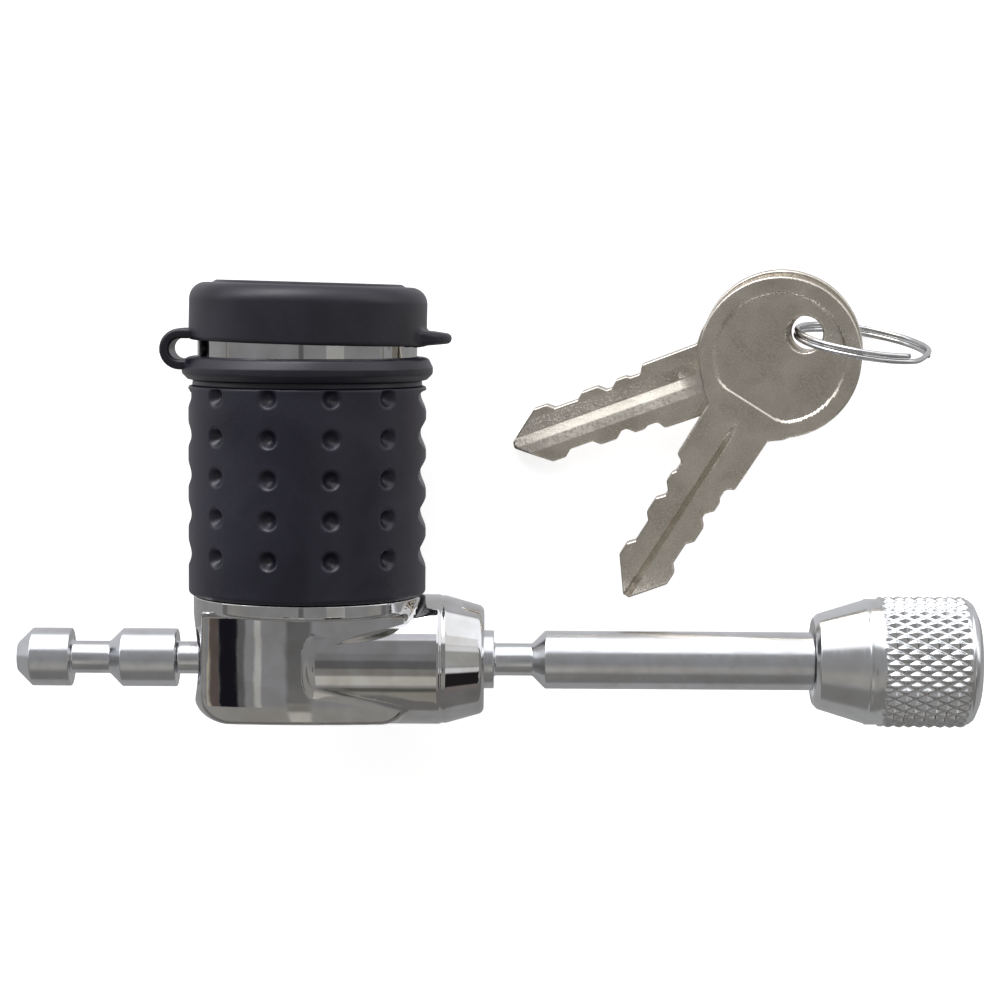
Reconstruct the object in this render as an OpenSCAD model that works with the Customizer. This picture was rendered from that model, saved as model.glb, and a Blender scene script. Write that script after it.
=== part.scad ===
// Right-angle hitch pin lock: a grooved pin with a knurled knob slides through the
// barrel of a keyed lock body and is held at one of five spans by a spring bolt.
// The set lies on its back: X runs along the pin, from its tip to its knob, Y runs up
// the lock body to its dust cap, and Z points up from the table.
// The origin is on the pin's axis, in the middle of its plain shank.

/* [Pin] */
// Diameter of the pin
pin_d = 7; // [6.4:0.1:7.2]
// Diameter of the pin at the bottom of a groove
groove_d = 3.9; // [3.6:0.1:4.2]
// Distance from one groove to the next
groove_pitch = 12.7; // [11.5:0.1:13.5]
// Length of a groove's floor
groove_floor = 4.6; // [4.5:0.1:4.8]
// Length of the plain shank that goes through the latch
shank_length = 32.2; // [24:0.2:40]

/* [Knob] */
// Largest diameter of the knob, over its knurl
knob_d = 15.8; // [13:0.2:18]
// Length of the knob
knob_length = 19.9; // [16:0.1:26]

/* [Lock body] */
// Diameter of the chromed body below the grip
body_d = 27.2; // [26.6:0.1:28]
// Diameter of the horizontal barrel that carries the pin
barrel_d = 15.6; // [14.6:0.2:15.6]
// Distance from the lock's axis to each side flat
flat_depth = 7; // [6:0.1:7.4]
// Height of the grip sleeve's lower edge above the pin's axis
grip_bottom = 7.9; // [7.6:0.1:8.4]
// Height of the grip sleeve's upper edge above the pin's axis
grip_top = 32.9; // [31:0.1:33]
// Diameter of the rubber grip sleeve
grip_d = 28.4; // [28:0.1:29]

/* [Dust cap] */
// Diameter of the dust cap
cap_d = 28.6; // [28.4:0.1:29.4]
// Height of the dust cap's top above the pin's axis
cap_top = 45.2; // [44.8:0.1:48]
// How far the pull tab reaches from the lock's axis
tab_reach = 17.2; // [16:0.1:20]
// How far the cap leans towards its tab, in degrees
cap_lean = 1.5; // [0:0.1:1.6]

/* [Lock cylinder] */
// Diameter of the rotating plug
plug_d = 11.9; // [11.86:0.02:11.96]
// How far the bolt drops into a groove
bolt_travel = 1.7; // [1.5:0.05:1.75]
// Width of the keyway
keyway_w = 7.6; // [7.4:0.1:8.4]
// Thickness of the keyway
keyway_t = 2.5; // [2.2:0.1:2.6]

/* [Keys] */
// Diameter of a key's round head
key_head_d = 19.8; // [17:0.2:20]
// Distance from a key's ring hole to its tip
key_reach = 39.5; // [37:0.5:42]
// Width of a key's blade
key_blade_w = 7; // [6.6:0.1:7.2]
// Thickness of a key
key_t = 2; // [1.6:0.1:2.1]
// Radius of the split ring, to the middle of its wire
ring_r = 8.1; // [7.9:0.1:8.2]

/* [Hidden] */
$fn = 96;

eps = 0.01;

// Stations along the pin, from the lock's axis
pin_r = pin_d / 2;
groove_r = groove_d / 2;
groove_rise = pin_r - groove_r;
groove_count = 5;
parked_groove = 2;
groove_slack = 0.3;
bolt_r = 2.6;
bolt_groove_x = -bolt_r - groove_slack;
first_groove_x = bolt_groove_x - parked_groove * groove_pitch;
tip_land = 4.7;
tip_chamfer = 1.8;
pin_tip_x = first_groove_x - tip_land - tip_chamfer;
shank_x = first_groove_x + (groove_count - 1) * groove_pitch + groove_floor + groove_rise;
knob_x = shank_x + shank_length;
frame_x = shank_x + shank_length / 2;

// Knob
knob_r = knob_d / 2;
knob_neck_r = 5.6;
knob_cone = 6.1;
knob_band = 1.6;
knurl_depth = 0.35;
knob_edge = 1.5;
tenon_r = 2.6;
tenon_length = 15;

// Lock body
body_r = body_d / 2;
barrel_r = barrel_d / 2;
body_bottom = -7.2;
body_edge = 3.1;
body_step = 1;
collar_r = 13.1;
collar_bottom = 35.9;
collar_top = 40.5;
collar_bevel = 0.5;
nose_start = 16.3;
nose_end = 21.3;
nose_r = 6.4;
nose_edge = 0.6;
barrel_edge = 1.3;
flat_top = 6;
pin_bore_r = pin_r + 0.06;
tail_cone_depth = 2.3;
seal_section = 0.6;
seal_r = pin_r + 0.14 + seal_section;
seal_groove_w = 1.5;
nose_seal_x = 18.2;
tail_seal_x = -9.6;

// Rubber
sleeve_bore_r = body_r - body_step;
grip_r = grip_d / 2;
grip_edge = 1;
cap_ring_r = 15;
cap_ring_neck_r = 13.8;
cap_ring_bottom = 33.5;
cap_ring_top = 36.4;
cap_ring_edge = 1.2;
cap_r = cap_d / 2;
cap_bottom = 38;
cap_bore_r = collar_r + 0.35;
cap_roof = 1.4;
cap_edge = 1.7;
tab_r = 5;
tab_bottom = 38.2;
tab_t = 1.5;
strap_x = -15.4;
strap_y = 36.9;
strap_r = 2.3;
strap_t = 1.2;
strap_w = 7;
dimple_rows = 5;
dimple_pitch = 4.7;
dimple_top = 31.8;
scallop_r = 1.9;
scallop_depth = 0.75;

// Lock cylinder, along the lock's axis
plug_r = plug_d / 2;
plug_bore_r = 6;
lock_barrel_r = 9.5;
lock_barrel_bottom = 19.6;
lock_barrel_top = 39.6;
plate_t = 0.6;
plug_bottom = 18.2;
plug_top = 39.5;
spigot_r = 4.2;
spigot_bottom = 16.4;
clip_y = 18.9;
clip_t = 0.6;
clip_groove_r = 5.2;
clip_r = 6.9;
chamber_r = 7.3;
chamber_floor = 7.6;
cam_r = 5.7;
cam_bore_r = 4.25;
cam_bottom = 7.9;
cam_pin_y = 17.3;
cam_pin_r = 0.6;
wafer_count = 6;
wafer_first = 21.6;
wafer_pitch = 2.9;
wafer_t = 1;
wafer_half = 2.9;
channel_reach = 7.2;
spring_r = 0.5;
spring_z = 3.55;

// Bolt, drawn back clear of the pin
bolt_tip = pin_r + 0.3;
bolt_flat = 2.2;
bolt_fit = 0.05;
cross_pin_y = 11.2;
cross_pin_r = 0.6;
cross_pin_half = 5.3;
bolt_collar_y = 12.4;
bolt_collar_r = 4.1;
bolt_collar_t = 1;
bolt_stub_r = 1.3;
bolt_stub_top = 15;

// Keys and ring, lying beside the lock
table_z = -cap_ring_r;
wire_r = 0.33;
ring_lean = 10;
ring_turn = -8;
ring_x = 59.1;
ring_y = 39.4;
ring_z = table_z + ring_r + wire_r;
key_hole_r = 2.2;
key_hole_offset = 4;
key_hole_side = 1;
key_gap = 0.6;
key_shoulder_w = 8.4;
// Cuts on both edges of a blade: middle, half the length of the floor, depth
key_cuts = [[-18.05, 0.65, 0.3], [-21.55, 0.45, 0.8], [-27.2, 1.6, 0.75]];
key_panel_r = 7.9;
key_panel_chord = 6.6;
key_panel_depth = 0.2;
key_slope = 8;
key_slope_turn = 219;
key_y = 39.4;
key_z = -7.5;
key_1_x = 60.8;
key_1_turn = 200.5;
key_2_x = 60.2;
key_2_turn = 238.3;

// Turns a shape from standing on Z to standing on the lock's axis, Y
module upright() {
    rotate([-90, 0, 0]) children();
}

// Turns a shape from standing on Z to lying along the pin, X
module along_pin() {
    rotate([0, 90, 0]) children();
}

// Moves a shape from the lock's axis to the part's own frame
module placed() {
    translate([-frame_x, 0, 0]) children();
}

// Round bar about the lock's axis, from one height to another
module post(r, low, high) {
    upright() translate([0, 0, low]) cylinder(r = r, h = high - low);
}

// Round bar along the pin's axis, from one station to another
module bar(r, low, high) {
    along_pin() translate([0, 0, low]) cylinder(r = r, h = high - low);
}

// Points of a quarter circle about (x, y), from one angle to another
function quarter(x, y, r, from, to) =
    [for (i = [0:6]) let (a = from + (to - from) * i / 6) [x + r * cos(a), y + r * sin(a)]];

// ---- Lock body ----

module body_casting() {
    upright() rotate_extrude() polygon(concat(
        [[0, body_bottom]],
        quarter(body_r - body_edge, body_bottom + body_edge, body_edge, -90, 0),
        [
            [body_r, grip_bottom],
            [sleeve_bore_r, grip_bottom],
            [sleeve_bore_r, collar_bottom],
            [collar_r, collar_bottom],
            [collar_r, collar_top - collar_bevel],
            [collar_r - collar_bevel, collar_top],
            [0, collar_top]
        ]
    ));
}

module side_flats() {
    cut_length = flat_top - body_bottom + 1;
    for (side = [-1, 1])
        translate([-body_r - 1, body_bottom - 1, side * (flat_depth + body_r) - body_r])
            cube([2 * body_r + 2, cut_length, 2 * body_r]);
}

module pin_barrel() {
    along_pin() rotate_extrude() polygon(concat(
        [[0, 0]],
        quarter(barrel_r - barrel_edge, barrel_edge, barrel_edge, -90, 0),
        [[barrel_r, nose_start]],
        quarter(nose_r - nose_edge, nose_end - nose_edge, nose_edge, 0, 90),
        [[0, nose_end]]
    ));
}

module seal_groove(x) {
    bar(seal_r + seal_section + 0.05, x - seal_groove_w / 2, x + seal_groove_w / 2);
}

module housing_bores() {
    bar(pin_bore_r, -body_r - 1, nose_end + 1);
    along_pin() translate([0, 0, -body_r - 1]) cylinder(
        r1 = pin_bore_r + tail_cone_depth + 1,
        r2 = pin_bore_r,
        h = tail_cone_depth + 1
    );
    seal_groove(nose_seal_x);
    seal_groove(tail_seal_x);
    intersection() {
        post(bolt_r + bolt_fit, 0, chamber_floor + 1);
        translate([-bolt_r - 1, 0, -bolt_flat - bolt_fit])
            cube([2 * bolt_r + 2, chamber_floor + 1, 2 * (bolt_flat + bolt_fit)]);
    }
    post(chamber_r, chamber_floor, lock_barrel_bottom + eps);
    post(lock_barrel_r, lock_barrel_bottom, collar_top + 1);
    barrel_pin_shape();
}

module housing() {
    color("silver") placed() difference() {
        union() {
            difference() {
                body_casting();
                side_flats();
            }
            pin_barrel();
        }
        housing_bores();
    }
}

module seal(x) {
    color("#202020") placed() along_pin() translate([0, 0, x])
        rotate_extrude() translate([seal_r, 0]) circle(r = seal_section, $fn = 32);
}

module nose_seal() {
    seal(nose_seal_x);
}

module tail_seal() {
    seal(tail_seal_x);
}

// ---- Rubber parts ----

// A dimple of the given depth in the grip, at an angle from the front
module dimple(row, angle, r, depth) {
    translate([0, dimple_top - row * dimple_pitch, 0])
        rotate([0, angle, 0])
            translate([0, 0, grip_r + r - depth])
                sphere(r = r, $fn = 32);
}

// A finger groove across one side of the grip, level with a row of dimples
module scallop(row, side) {
    translate([side * (grip_r - scallop_depth + scallop_r), dimple_top - row * dimple_pitch, -body_r])
        cylinder(r = scallop_r, h = 2 * body_r, $fn = 48);
}

module grip_sleeve() {
    color("#26262c") placed() difference() {
        upright() rotate_extrude() polygon(concat(
            [[sleeve_bore_r, grip_bottom]],
            quarter(grip_r - grip_edge, grip_bottom + grip_edge, grip_edge, -90, 0),
            [[grip_r, grip_top], [sleeve_bore_r, grip_top]]
        ));
        for (row = [0:dimple_rows - 1]) {
            for (angle = [-45, -15, 15, 45, 135, 165, 195, 225])
                dimple(row, angle, 1.3, 0.6);
            for (side = [-1, 1])
                scallop(row, side);
        }
    }
}

module cap_ring() {
    color("#26262c") placed() upright() rotate_extrude() polygon(concat(
        [[sleeve_bore_r, grip_top], [cap_ring_neck_r, grip_top], [cap_ring_neck_r, cap_ring_bottom]],
        quarter(cap_ring_r - cap_ring_edge, cap_ring_bottom + cap_ring_edge, cap_ring_edge, -90, 0),
        quarter(cap_ring_r - cap_ring_edge, cap_ring_top - cap_ring_edge, cap_ring_edge, 0, 90),
        [[collar_r + eps, cap_ring_top], [collar_r + eps, collar_bottom], [sleeve_bore_r, collar_bottom]]
    ));
}

module cap_strap() {
    color("#26262c") placed() difference() {
        translate([strap_x, strap_y, -strap_w / 2]) linear_extrude(strap_w) difference() {
            union() {
                circle(r = strap_r);
                translate([0, -strap_r]) square([3, 2 * strap_r]);
            }
            circle(r = strap_r - strap_t);
            translate([0, strap_t - strap_r]) square([4, 2 * (strap_r - strap_t)]);
        }
        post(cap_ring_r + 0.02, 0, cap_ring_top + 0.1);
        post(cap_r + 0.2, collar_bottom, cap_top + 1);
    }
}

module cap_shell() {
    upright() rotate_extrude() polygon(concat(
        [
            [0, cap_top - cap_roof],
            [cap_bore_r, cap_top - cap_roof],
            [cap_bore_r, cap_bottom],
            [cap_r, cap_bottom]
        ],
        quarter(cap_r - cap_edge, cap_top - cap_edge, cap_edge, 0, 90),
        [[0, cap_top]]
    ));
}

module pull_tab() {
    difference() {
        translate([tab_reach - tab_r, 0, 0]) post(tab_r, tab_bottom, tab_bottom + tab_t);
        post((cap_r + cap_bore_r) / 2, tab_bottom - 1, tab_bottom + tab_t + 1);
    }
}

module dust_cap() {
    color("#26262c") placed()
        translate([0, cap_bottom, 0]) rotate([0, 0, -cap_lean]) translate([0, -cap_bottom, 0])
            union() {
                cap_shell();
                pull_tab();
            }
}

// ---- Lock cylinder ----

module barrel_pin_shape() {
    translate([0, 29, -sleeve_bore_r + 0.1]) cylinder(r = 1.25, h = 5.3);
}

module lock_barrel() {
    color("#b0a070") placed() difference() {
        post(lock_barrel_r, lock_barrel_bottom, lock_barrel_top);
        post(plug_bore_r, lock_barrel_bottom - 1, lock_barrel_top + 1);
        translate([-channel_reach, lock_barrel_bottom - 1, -wafer_half - 0.2])
            cube([2 * channel_reach, wafer_count * wafer_pitch + 1.6, 2 * wafer_half + 0.4]);
        barrel_pin_shape();
    }
}

module barrel_pin() {
    color("silver") placed() barrel_pin_shape();
}

module face_plate() {
    color("silver") placed() difference() {
        post(lock_barrel_r, lock_barrel_top, lock_barrel_top + plate_t);
        post(keyway_w / 2 + 0.7, lock_barrel_top - 1, lock_barrel_top + plate_t + 1);
    }
}

module wafer_slot(y) {
    translate([-body_r, y - wafer_t / 2 - 0.05, -wafer_half - 0.05])
        cube([2 * body_r, wafer_t + 0.1, 2 * wafer_half + 0.1]);
    translate([-2.7, y - wafer_t / 2 - 0.05, 0])
        cube([5.9, wafer_t + 0.1, 4.2]);
}

module cam_pin_shape() {
    translate([0, cam_pin_y, 0]) bar(cam_pin_r, -cam_r + 0.1, cam_r - 0.1);
}

module plug() {
    color("#c8b878") placed() difference() {
        union() {
            post(plug_r, plug_bottom, plug_top);
            post(spigot_r, spigot_bottom, plug_bottom + eps);
        }
        translate([-keyway_w / 2, lock_barrel_bottom + 0.4, -keyway_t / 2])
            cube([keyway_w, plug_top, keyway_t]);
        for (i = [0:wafer_count - 1]) wafer_slot(wafer_first + i * wafer_pitch);
        difference() {
            post(plug_r + 1, clip_y - 0.05, clip_y + clip_t + 0.05);
            post(clip_groove_r, clip_y - 1, clip_y + clip_t + 1);
        }
        cam_pin_shape();
    }
}

module plug_clip() {
    color("silver") placed() difference() {
        post(clip_r, clip_y, clip_y + clip_t);
        post(clip_groove_r, clip_y - 1, clip_y + clip_t + 1);
        translate([0, clip_y - 1, -2.5]) cube([clip_r + 1, clip_t + 2, 5]);
    }
}

// The cam's slots follow a quarter-turn helix, so turning the plug by a quarter
// moves the cross pin by the bolt's travel
module cam_slots() {
    steps = 10;
    for (i = [0:steps])
        rotate([0, 90 * i / steps, 0])
            translate([0, cross_pin_y - bolt_travel * i / steps, 0])
                bar(cross_pin_r + 0.2, -cam_r - 1, cam_r + 1);
}

module plug_cam() {
    color("silver") placed() difference() {
        post(cam_r, cam_bottom, plug_bottom - 0.1);
        post(cam_bore_r, cam_bottom - 1, plug_bottom + 1);
        cam_slots();
        cam_pin_shape();
    }
}

module cam_pin() {
    color("silver") placed() cam_pin_shape();
}

module wafer(i) {
    y = wafer_first + (i - 1) * wafer_pitch;
    window_shift = 0.3 * ((i % 3) - 1);
    color("#d0c080") placed() difference() {
        union() {
            intersection() {
                post(plug_r - 0.1, y - wafer_t / 2, y + wafer_t / 2);
                translate([-body_r, y - wafer_t, -wafer_half])
                    cube([2 * body_r, 2 * wafer_t, 2 * wafer_half]);
            }
            translate([1.5, y - wafer_t / 2, wafer_half - 0.5])
                cube([1.6, wafer_t, 1.7]);
        }
        translate([window_shift - 3.9, y - wafer_t, -1.35])
            cube([7.8, 2 * wafer_t, 2.7]);
    }
}

module wafer_springs() {
    color("silver") placed() for (i = [0:wafer_count - 1])
        translate([0, wafer_first + i * wafer_pitch, spring_z]) difference() {
            bar(spring_r, -2.65, 1.45);
            bar(spring_r - 0.2, -3, 2);
        }
}

// ---- Bolt ----

module cross_pin_shape() {
    translate([0, cross_pin_y, 0]) bar(cross_pin_r, -cross_pin_half, cross_pin_half);
}

module bolt() {
    guide_top = chamber_floor + bolt_travel + 0.3;
    color("#a8a8ac") placed() difference() {
        union() {
            intersection() {
                post(bolt_r, bolt_tip, guide_top);
                translate([-bolt_r, bolt_tip, -bolt_flat])
                    cube([2 * bolt_r, guide_top - bolt_tip, 2 * bolt_flat]);
            }
            post(bolt_r, guide_top - eps, bolt_collar_y + eps);
            post(bolt_collar_r, bolt_collar_y, bolt_collar_y + bolt_collar_t);
            post(bolt_stub_r, bolt_collar_y, bolt_stub_top);
        }
        // bevel that rides up a groove's cone when the pin is pushed home
        translate([bolt_r - 1.05, bolt_tip, -bolt_r]) rotate([0, 0, -45])
            cube([4, 4, 2 * bolt_r]);
        cross_pin_shape();
    }
}

module bolt_cross_pin() {
    color("silver") placed() cross_pin_shape();
}

module bolt_spring() {
    color("silver") placed() difference() {
        post(bolt_stub_r + 1.9, bolt_collar_y + bolt_collar_t, spigot_bottom);
        post(bolt_stub_r + 0.6, bolt_collar_y, spigot_bottom + 1);
    }
}

// ---- Pin ----

// Outline of one groove: square shoulder towards the tip, cone towards the knob
function groove_outline(x) = [
    [pin_r, x],
    [groove_r, x],
    [groove_r, x + groove_floor],
    [pin_r, x + groove_floor + groove_rise]
];

module pin_shank() {
    color("#c4c6c8") placed() along_pin() rotate_extrude() polygon(concat(
        [[0, pin_tip_x], [pin_r - tip_chamfer, pin_tip_x], [pin_r, pin_tip_x + tip_chamfer]],
        [
            for (i = [0:groove_count - 1])
                each groove_outline(first_groove_x + i * groove_pitch)
        ],
        [
            [pin_r, knob_x],
            [tenon_r, knob_x],
            [tenon_r, knob_x + tenon_length],
            [0, knob_x + tenon_length]
        ]
    ));
}

module pin_knob() {
    knurl_start = knob_cone + knob_band;
    shoulder_r = knob_r - knurl_depth;
    color("#d0d2d4") placed() translate([knob_x, 0, 0]) along_pin() difference() {
        rotate_extrude() polygon([
            [0, 0],
            [knob_neck_r, 0],
            [shoulder_r, knob_cone],
            [shoulder_r, knurl_start],
            [knob_r, knurl_start + knurl_depth],
            [knob_r, knob_length - knob_edge],
            [knob_r - knob_edge, knob_length - 0.4],
            [knob_r - 2 * knob_edge, knob_length],
            [0, knob_length]
        ]);
        translate([0, 0, -eps]) cylinder(r = tenon_r, h = tenon_length + eps);
    }
}

// ---- Keys ----

// One cut edge of the blade, from the head to the tip
function blade_edge(tip_x) = concat(
    [[-8, 5.3], [-9.3, key_shoulder_w / 2 + 0.1], [-16.5, key_shoulder_w / 2]],
    [for (cut = key_cuts, end = [0:3])
        [
            cut[0] + [1, 1, -1, -1][end] * (cut[1] + [1, 0, 0, 1][end] * (0.2 + 0.9 * cut[2])),
            key_blade_w / 2 - [0, 1, 1, 0][end] * cut[2]
        ]
    ],
    [[tip_x + 4.3, key_blade_w / 2], [tip_x + 0.2, 0.55]]
);

// Outline about the centre of the key's head, with the blade towards -X
module key_outline() {
    tip_x = key_hole_offset - key_reach;
    edge = blade_edge(tip_x);
    last = len(edge) - 1;
    difference() {
        union() {
            circle(r = key_head_d / 2);
            polygon(concat(
                [[0, 5.3]],
                edge,
                [for (i = [last:-1:0]) [edge[i][0], -edge[i][1]]],
                [[0, -5.3]]
            ));
        }
        translate([key_hole_offset, -key_hole_side]) circle(r = key_hole_r);
    }
}

module key_panel() {
    intersection() {
        circle(r = key_panel_r);
        translate([-key_panel_chord, -key_panel_r])
            square([key_panel_chord + key_panel_r, 2 * key_panel_r]);
    }
}

// A flat key with its ring hole at the origin: a narrow groove on its upper face, a
// wide one on its lower face
module key_shape() {
    tip_x = key_hole_offset - key_reach;
    translate([-key_hole_offset, key_hole_side, -key_t / 2]) difference() {
        linear_extrude(key_t) key_outline();
        translate([0, 0, key_t - key_panel_depth]) linear_extrude(1) key_panel();
        translate([0, 0, key_panel_depth - 1]) linear_extrude(1) key_panel();
        translate([tip_x - 1, -0.4, key_t - 0.5]) cube([-tip_x - 12, 0.8, 1]);
        translate([tip_x - 1, 0, 0]) rotate([90, 0, 90])
            linear_extrude(-tip_x - 12) polygon([
                [-2.38, -eps],
                [-0.75, 0.8],
                [0.35, 0.3],
                [1.55, -eps]
            ]);
    }
}

// Places a key on the ring. Step counts keys along the ring, upwards
module key_on_ring(x, turn, step) {
    placed() translate([x, key_y, key_z])
        rotate([0, 0, key_slope_turn]) rotate([0, key_slope, 0])
            translate([0, 0, step * (key_t + key_gap) / 2])
                rotate([0, 0, 180 + turn - key_slope_turn])
                    children();
}

module key_1() {
    color("#85796a") key_on_ring(key_1_x, key_1_turn, -1) rotate([180, 0, 0]) key_shape();
}

module key_2() {
    color("#8a8272") key_on_ring(key_2_x, key_2_turn, 1) key_shape();
}

module split_ring() {
    color("silver") placed() translate([ring_x, ring_y, ring_z])
        rotate([0, 0, ring_turn]) rotate([ring_lean, 0, 0])
            translate([ring_r, 0, 0]) rotate([90, 0, 0]) rotate_extrude() {
                for (side = [-1, 1]) translate([ring_r, side * wire_r]) circle(r = wire_r);
                translate([ring_r - wire_r, -wire_r]) square(2 * wire_r);
            }
}

housing();
grip_sleeve();
cap_ring();
cap_strap();
dust_cap();
lock_barrel();
barrel_pin();
face_plate();
nose_seal();
tail_seal();
plug();
plug_clip();
plug_cam();
cam_pin();
wafer(1);  // wafer_1
wafer(2);  // wafer_2
wafer(3);  // wafer_3
wafer(4);  // wafer_4
wafer(5);  // wafer_5
wafer(6);  // wafer_6
wafer_springs();
bolt();
bolt_cross_pin();
bolt_spring();
pin_shank();
pin_knob();
split_ring();
key_1();
key_2();
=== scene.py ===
"""Looks of the hitch pin lock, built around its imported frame.

Shapes are made in millimetres about the lock: X runs along the pin from the lock's axis,
Y up the lock's axis from the pin's axis, Z up from the table. new_object() places them.
"""

import math

import bmesh
import bpy
import numpy as np
from mathutils import Matrix, Vector


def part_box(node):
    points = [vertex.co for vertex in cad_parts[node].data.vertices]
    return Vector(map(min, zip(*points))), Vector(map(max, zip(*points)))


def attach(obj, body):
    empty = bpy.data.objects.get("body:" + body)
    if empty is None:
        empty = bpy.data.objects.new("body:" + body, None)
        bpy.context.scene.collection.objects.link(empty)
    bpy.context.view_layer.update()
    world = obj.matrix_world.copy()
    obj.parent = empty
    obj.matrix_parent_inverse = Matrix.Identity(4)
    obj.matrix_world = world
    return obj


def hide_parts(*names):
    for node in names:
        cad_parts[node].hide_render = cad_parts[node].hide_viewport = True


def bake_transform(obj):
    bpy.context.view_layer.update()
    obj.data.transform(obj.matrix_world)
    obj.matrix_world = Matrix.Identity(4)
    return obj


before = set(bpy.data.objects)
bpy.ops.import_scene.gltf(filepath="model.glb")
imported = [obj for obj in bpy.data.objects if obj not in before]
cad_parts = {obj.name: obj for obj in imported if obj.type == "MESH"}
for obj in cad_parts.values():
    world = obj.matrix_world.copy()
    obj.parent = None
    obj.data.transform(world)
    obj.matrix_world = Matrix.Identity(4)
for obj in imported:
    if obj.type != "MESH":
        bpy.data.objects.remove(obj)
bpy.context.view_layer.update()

MM = 0.001
lock_x = sum(corner.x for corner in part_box("lock_barrel")) / 2
UPRIGHT = Matrix.Rotation(math.radians(-90), 4, "X")
ALONG_PIN = Matrix.Rotation(math.radians(90), 4, "Y")


def lock_box(node):
    """Lowest and highest corner of a CAD node, in millimetres about the lock."""
    low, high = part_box(node)
    shift = Vector((lock_x, 0, 0))
    return (low - shift) / MM, (high - shift) / MM


body_low, body_high = lock_box("housing")
grip_low, grip_high = lock_box("grip_sleeve")
ring_low, ring_high = lock_box("cap_ring")
pin_low, pin_high = lock_box("pin_shank")
knob_low, knob_high = lock_box("pin_knob")

# ---- Sizes ----

pin_r = pin_high.z
groove_r = 1.95
groove_floor = 4.6
groove_pitch = 12.7
groove_count = 5
tip_chamfer = 1.8
first_groove_x = pin_low.x + 6.5
tenon_r = 2.6

body_r = -body_low.x
body_bottom = -7.2
body_edge = 3.1
collar_top = body_high.y
collar_bottom = 35.9
collar_r = 13.1
barrel_r = 7.8
tail_countersink = 2.3
nose_start = 16.3
nose_end = body_high.x
nose_r = 6.4
flat_depth = 7.0
flat_top = 6.0
sleeve_bore_r = 12.6
cylinder_r = 9.5
cylinder_bottom = 19.6
chamber_r = 7.3
chamber_bottom = 7.6
chamber_top = 19.8
guide_r = 2.65
guide_top = 8.6
seal_groove_r = 4.9
seal_groove_half = 0.75
seal_places = (-9.6, 18.2)
running_gap = 0.06
grip_r = grip_high.x
grip_bottom = grip_low.y
grip_top = grip_high.y
cap_ring_r = ring_high.x

cap_r = 14.2
cap_bore_r = 13.45
cap_bottom = 38.0
cap_top = 45.2
cap_lean = 1.3
cap_disc_r = 11.3
cap_top_t = 1.4
tab_r = 5.0
tab_reach = 17.2
strap_x = -14.95
strap_y = 37.2
strap_r = 1.85
strap_t = 1.2
strap_w = 7.0

dimple_r = 1.18
dimple_depth = 0.95
dimple_rows = 5
dimple_pitch = 4.7
dimple_top = 31.8
scallop_depth = 0.78
scallop_half = 1.95

knob_length = knob_high.x - knob_low.x
knob_r = knob_high.z

key_t = 2.0
key_head_r = 9.9
key_hole_r = 2.2
key_hole_offset = 4.0
key_hole_side = 1.0
key_gap = 0.6
key_tip_x = -35.5
key_blade_half = 3.5
key_shoulder_half = 4.2
key_shoulder_x = -16.5
key_tip_half = 0.55
key_round = 0.35
# Cuts on both edges of a blade: middle, half the length of the floor, depth
key_cuts = [(-18.05, 0.65, 0.3), (-21.55, 0.45, 0.8), (-27.2, 1.6, 0.75)]
key_panel_r = 7.95
key_panel_chord = 6.7
key_panel_depth = 0.24
key_1_turn = 200.5
key_2_turn = 238.3
key_1_x = 60.8
key_2_x = 60.2
wire_r = 0.33
ring_r = 8.1
ring_place = (59.1, 39.4, -6.57)
ring_turn = -8.0
ring_lean = 10.0
key_slope = 8.0
key_slope_turn = 219.0
key_y = 39.4
key_z = -7.5
table_z = -cap_ring_r

wafer_count = 6
wafer_first = 21.6
wafer_pitch = 2.9

# ---- Meshes ----


def new_object(name, points, faces, matrix=None, normals=None):
    """Smooth mesh object from points in millimetres about the lock."""
    points = np.asarray(points, float)
    if matrix is not None:
        turn = np.array(matrix.to_3x3())
        points = points @ turn.T + np.array(matrix.translation)
        normals = None if normals is None else normals @ turn.T
    mesh = bpy.data.meshes.new(name)
    placed = points * MM + np.array([lock_x, 0, 0])
    mesh.from_pydata(placed.tolist(), [], faces)
    mesh.update()
    mesh.shade_smooth()
    if normals is None:
        shape = bmesh.new()
        shape.from_mesh(mesh)
        bmesh.ops.recalc_face_normals(shape, faces=shape.faces)
        shape.to_mesh(mesh)
        shape.free()
    else:
        mesh.normals_split_custom_set_from_vertices(normals.tolist())
    obj = bpy.data.objects.new(name, mesh)
    bpy.context.scene.collection.objects.link(obj)
    return obj


def even_normals(obj):
    """Lets an object's large faces keep their own normals beside small rounded edges."""
    modifier = obj.modifiers.new("even normals", "WEIGHTED_NORMAL")
    modifier.mode = "FACE_AREA"
    modifier.weight = 100
    modifier.keep_sharp = True


def fit(obj, material, slot, body, *nodes):
    """Gives a piece its material and has it stand for CAD nodes of one body."""
    obj.data.materials.append(material)
    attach(obj, body)
    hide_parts(*nodes)


def rounded(corners, steps=4, closed=False):
    """Outline through corners (x, y, radius), each rounded to about its radius."""
    outline = []
    last = len(corners) - 1
    for i, (x, y, radius) in enumerate(corners):
        corner = Vector((x, y))
        if radius == 0 or (not closed and i in (0, last)):
            outline.append(tuple(corner))
            continue
        before = Vector(corners[i - 1][:2]) - corner
        after = Vector(corners[(i + 1) % len(corners)][:2]) - corner
        reach = radius / math.tan(before.angle(after) / 2)
        reach = min(reach, 0.48 * before.length, 0.48 * after.length)
        start = corner + before.normalized() * reach
        end = corner + after.normalized() * reach
        for k in range(steps + 1):
            t = k / steps
            point = start * (1 - t) ** 2 + corner * 2 * t * (1 - t) + end * t**2
            outline.append(tuple(point))
    return outline


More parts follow.
